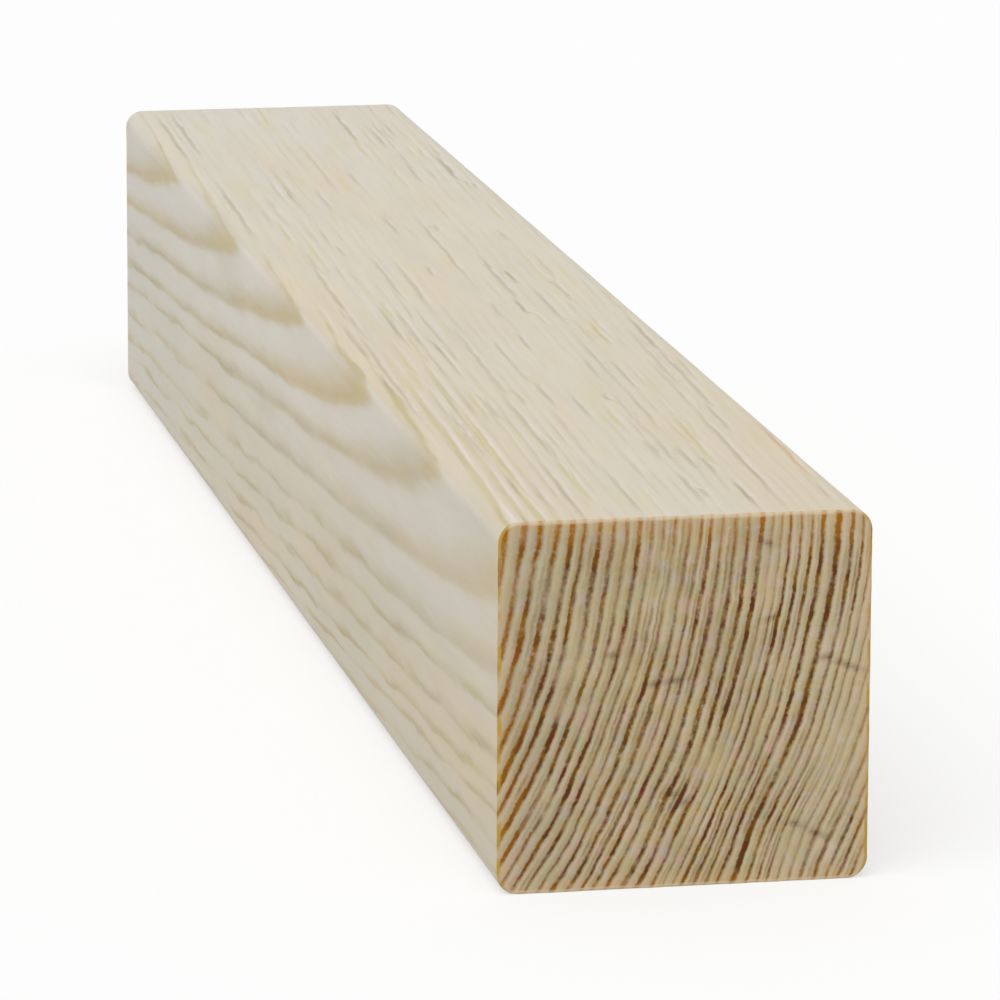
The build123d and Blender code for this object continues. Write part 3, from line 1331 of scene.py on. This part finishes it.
    def sawn_end(self, rim: np.ndarray, end: float, outward: float) -> np.ndarray:
        """Fills one sawn end from its rim.

        It is a Coons patch: the blend of the bottom and top sides, plus the blend of the
        left and right sides, less the blend of the four corners. The saw cut is then
        roughened inwards: summer bands stand a little proud, shallow drag lines run
        across, and each tear is a small pit.

        Args:
            rim: The rim's points, round from the bottom left corner.
            end: The distance of the cut from the near end.
            outward: The cut's direction along the grain, minus one or one.

        Returns:
            Points in rows up the end and columns across it, rim included.
        """
        cells = self.side_cells
        closed = np.concatenate([rim, rim[:1]])
        bottom, right = closed[:cells + 1], closed[cells:2 * cells + 1]
        top, left = closed[2 * cells:3 * cells + 1][::-1], closed[3 * cells:][::-1]
        share = np.linspace(0, 1, cells + 1)
        u, v = share[None, :, None], share[:, None, None]
        patch = ((1 - v) * bottom[None] + v * top[None] + (1 - u) * left[:, None] + u * right[:, None]
                 - (1 - u) * (1 - v) * bottom[0] - u * (1 - v) * bottom[-1]
                 - (1 - u) * v * top[0] - u * v * top[-1])
        flat = patch.reshape(-1, 3)
        depth = self.rim_distance(flat[:, 0], flat[:, 2]) - self.end_break
        fade = np.clip(depth / self.end_fade, 0, 1)
        drag = 0.5 + 0.5 * np.tanh(waves(flat, self.drag_waves, self.drag_seed))
        hollow = self.ring_share * (1 - self.ridge(flat)) + (1 - self.ring_share) * drag
        pits = self.tear_depth * self.torn(flat)
        flat[:, 1] = end - outward * (self.end_relief * hollow + pits) * fade
        return flat.reshape(patch.shape)

    def build(self) -> bpy.types.Object:
        """Joins the long faces and both ends into one closed mesh that the finishes can read.

        Returns:
            The plank's object, at the origin, in the place of its solid.
        """
        tube, tube_normals, from_end = self.long_faces()
        rows, around = tube.shape[:2]

        # The ends share their rim with the tube, so only their inner points are new.
        near_end = self.sawn_end(tube[0], 0.0, -1.0)[1:-1, 1:-1].reshape(-1, 3)
        far_end = self.sawn_end(tube[-1], self.length, 1.0)[1:-1, 1:-1].reshape(-1, 3)
        ahead = np.broadcast_to(np.array([0.0, 1.0, 0.0]), near_end.shape)
        points = np.concatenate([tube.reshape(-1, 3), near_end, far_end])
        normals = np.concatenate([tube_normals.reshape(-1, 3), -ahead, ahead])
        inner_rim = [self.rim_distance(end[:, 0], end[:, 2]) for end in (near_end, far_end)]
        rim = np.concatenate([from_end.ravel(), *inner_rim])

        tube_quads = self.tube_quads(rows, around)
        near_quads = self.end_quads(0, rows * around)
        far_quads = self.end_quads((rows - 1) * around, rows * around + len(near_end))[:, ::-1]
        quads = np.concatenate([tube_quads, near_quads, far_quads])

        mesh = bpy.data.meshes.new(PIECE)
        placed = (points + np.array([0.0, self.near, self.base + self.height / 2])) * MM
        mesh.from_pydata(placed.tolist(), [], quads.tolist())
        self.store_growth(mesh, points, normals, rim)
        self.store_bake_map(mesh, rows, around, len(near_quads))
        finish = np.full(len(quads), Finish.SAWN.value)
        broken = self.break_cells * around
        finish[broken:len(tube_quads) - broken] = Finish.PLANED.value
        mesh.polygons.foreach_set("material_index", finish.astype(np.int32))
        mesh.polygons.foreach_set("use_smooth", np.ones(len(quads), dtype=bool))
        mesh.update()
        plank = bpy.data.objects.new(PIECE, mesh)
        bpy.context.collection.objects.link(plank)
        return plank

    def tube_quads(self, rows: int, around: int) -> np.ndarray:
        """Numbers the quads of the long faces, closed round the section.

        Args:
            rows: The number of rows along the tube.
            around: The number of points round the tube.

        Returns:
            Four point numbers for each quad, turned to face outwards.
        """
        row, column = np.meshgrid(np.arange(rows - 1), np.arange(around), indexing="ij")
        this, following = row * around, (row + 1) * around
        beside = (column + 1) % around
        quads = [this + column, following + column, following + beside, this + beside]
        return np.stack(quads, axis=-1).reshape(-1, 4)

    def end_quads(self, rim_start: int, inner_start: int) -> np.ndarray:
        """Numbers the quads of one sawn end, with its border on the tube's rim.

        Args:
            rim_start: The number of the rim's first point.
            inner_start: The number of the end's first inner point.

        Returns:
            Four point numbers for each quad, turned to face the near side.
        """
        cells = self.side_cells
        grid = np.zeros((cells + 1, cells + 1), dtype=int)
        step = np.arange(cells + 1)
        grid[0, :] = rim_start + step
        grid[:, -1] = rim_start + cells + step
        grid[-1, :] = rim_start + 3 * cells - step
        grid[:, 0] = rim_start + (4 * cells - step) % (4 * cells)
        grid[1:-1, 1:-1] = inner_start + np.arange((cells - 1) ** 2).reshape(cells - 1, cells - 1)
        corners = [grid[:-1, :-1], grid[:-1, 1:], grid[1:, 1:], grid[1:, :-1]]
        return np.stack(corners, axis=-1).reshape(-1, 4)

    def store_growth(self, mesh: bpy.types.Mesh, points: np.ndarray, normals: np.ndarray,
                     rim: np.ndarray) -> None:
        """Writes what the finishes read at each point: its year, its way along the ring and the rest.

        Args:
            mesh: The plank's mesh.
            points: Across, along and up, in the plank's own measures.
            normals: The outward directions at the points.
            rim: The distance from the nearest sawn edge.
        """
        across, along, up = points.T
        ring = self.growth.ring(self.growth.radius(across, along, up))
        values = {
            "ring": ring,
            "latewood": self.growth.latewood(ring),
            "arc": self.growth.arc(across, along, up),
            "facing": self.growth.facing(points, normals),
            "rim": rim,
            "tear": self.torn(points),
            "shade": self.growth.shade(across, up),
            **self.streaks(points, normals),
        }
        for name, value in values.items():
            mesh.attributes.new(name, "FLOAT", "POINT").data.foreach_set("value", value.astype(np.float32))

    def store_bake_map(self, mesh: bpy.types.Mesh, rows: int, around: int, end_count: int) -> None:
        """Lays the skin out flat: the long faces as one strip, and both ends enlarged above it.

        Args:
            mesh: The plank's mesh.
            rows: The number of rows along the tube.
            around: The number of points round the tube.
            end_count: The number of quads on one end.
        """
        margin, size, floor = self.map_margin, self.map_end, self.map_end_up
        row, column = np.meshgrid(np.arange(rows - 1), np.arange(around), indexing="ij")
        along = np.stack([row, row + 1, row + 1, row], axis=-1) / (rows - 1)
        round_it = np.stack([column, column, column + 1, column + 1], axis=-1) / around
        strip = margin + np.stack([along, round_it], axis=-1).reshape(-1, 2) * self.map_strip
        cells = self.side_cells
        up, across = np.meshgrid(np.arange(cells), np.arange(cells), indexing="ij")
        right = np.stack([across, across + 1, across + 1, across], axis=-1).reshape(end_count, 4) / cells
        above = np.stack([up, up, up + 1, up + 1], axis=-1).reshape(end_count, 4) / cells
        near = np.stack([margin + size * right, floor + size * above], axis=-1)
        far = np.stack([self.map_far_right - size * right, floor + size * above], axis=-1)[:, ::-1]
        spread = np.concatenate([strip, near.reshape(-1, 2), far.reshape(-1, 2)])
        mesh.uv_layers.new(name=BAKE_MAP).data.foreach_set("uv", spread.astype(np.float32).ravel())

    def dress(self, plank: bpy.types.Object) -> None:
        """Gives the plank its two finishes and sets it in the place of its solid.

        Args:
            plank: The plank's object.
        """
        plank.data.materials.append(PlanedPine().material())
        plank.data.materials.append(SawnEndGrain().material())
        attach(plank, BODY)
        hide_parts(NODE)


@dataclass
class Studio:
    """A pale floor, soft light from above on the left, and the camera."""

    floor_half: float = 4000.0
    floor_albedo: float = 0.8
    shadow_share: float = 0.45
    sky: float = 0.58
    white: float = 1.0
    key: float = 1.42
    key_angle: float = 55.0
    key_from: Size = (-0.3, -0.42, 0.86)
    camera_place: Size = (-168.65, -887.03, 212.01)
    camera_yaw: float = 11.266
    camera_pitch: float = -12.405
    camera_roll: float = 0.2575
    camera_lens: float = 243.37
    camera_sensor: float = 36.0

    def seen_directly(self, tree: bpy.types.NodeTree) -> Socket:
        """Tells what is looked at from what only gives light.

        Args:
            tree: The node tree of a material or the world.

        Returns:
            One for rays that the camera sees, straight, in a reflection or through glass.
        """
        camera, glossy, through = [
            add_node(tree, "LightPath", out=f"Is {kind} Ray")
            for kind in ("Camera", "Glossy", "Transmission")]
        either = add_node(tree, "Math", (camera, glossy), operation="MAXIMUM")
        return add_node(tree, "Math", (either, through), operation="MAXIMUM")

    def floor(self) -> None:
        """Lays a level sheet of matte paper under the plank that looks white and keeps a soft shadow."""
        half = self.floor_half * MM
        mesh = bpy.data.meshes.new("studio_floor")
        corners = [(-half, -half, 0), (half, -half, 0), (half, half, 0), (-half, half, 0)]
        mesh.from_pydata(corners, [], [(0, 1, 2, 3)])
        floor = bpy.data.objects.new("studio_floor", mesh)
        bpy.context.collection.objects.link(floor)
        material = fresh_material("matte_white_paper")
        add = partial(add_node, material.node_tree)
        bounce = add("BsdfDiffuse", {"Color": (*[self.floor_albedo] * 3, 1.0)})
        shaded = add("BsdfDiffuse", {"Color": (*[self.shadow_share] * 3, 1.0)})
        glow = add("Emission", {"Strength": 1 - self.shadow_share})
        paper = add("AddShader", (shaded, glow))
        seen = self.seen_directly(material.node_tree)
        add_output(material.node_tree, add("MixShader", (seen, bounce, paper)))
        mesh.materials.append(material)

    def light(self) -> None:
        """Lights the plank evenly from all round, with a broad soft key from above on the left."""
        world = bpy.data.worlds.new("studio_light")
        bpy.context.scene.world = world
        world.use_nodes = True
        tree = world.node_tree
        tree.nodes.clear()
        sky, white = [
            add_node(tree, "Background", {"Color": (1.0, 1.0, 1.0, 1.0), "Strength": strength})
            for strength in (self.sky, self.white)]
        mixed = add_node(tree, "MixShader", (self.seen_directly(tree), sky, white))
        add_output(tree, mixed, "World")
        sun = bpy.data.lights.new("soft_key", "SUN")
        sun.energy = self.key
        sun.angle = math.radians(self.key_angle)
        key = bpy.data.objects.new("soft_key", sun)
        key.rotation_mode = "QUATERNION"
        key.rotation_quaternion = (-Vector(self.key_from)).to_track_quat("-Z", "Y")
        bpy.context.collection.objects.link(key)

    def camera(self) -> None:
        """Stands the camera before the near end, to its left, looking slightly down."""
        lens = bpy.data.cameras.new("camera")
        lens.lens = self.camera_lens
        lens.sensor_width = self.camera_sensor
        camera = bpy.data.objects.new("camera", lens)
        yaw = Matrix.Rotation(-math.radians(self.camera_yaw), 4, "Z")
        pitch = Matrix.Rotation(math.pi / 2 + math.radians(self.camera_pitch), 4, "X")
        roll = Matrix.Rotation(math.radians(self.camera_roll), 4, "Z")
        camera.matrix_world = Matrix.Translation(Vector(self.camera_place) * MM) @ yaw @ pitch @ roll
        bpy.context.collection.objects.link(camera)
        bpy.context.scene.camera = camera


def main() -> None:
    """Builds the studio and the plank."""
    logging.basicConfig(level=logging.INFO, format="%(name)s: %(message)s")
    bpy.context.scene.view_settings.view_transform = "Standard"
    studio = Studio()
    studio.camera()
    studio.floor()
    studio.light()
    log.info("studio: camera, floor and light")

    low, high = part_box(NODE)
    size = (np.array(high) - np.array(low)) / MM
    plank = Plank(width=size[0], length=size[1], height=size[2], base=low[2] / MM, near=low[1] / MM)
    skin = plank.build()
    plank.dress(skin)
    log.info("%s: %d quads on %s", skin.name, len(skin.data.polygons), NODE)


if __name__ == "__main__":
    main()
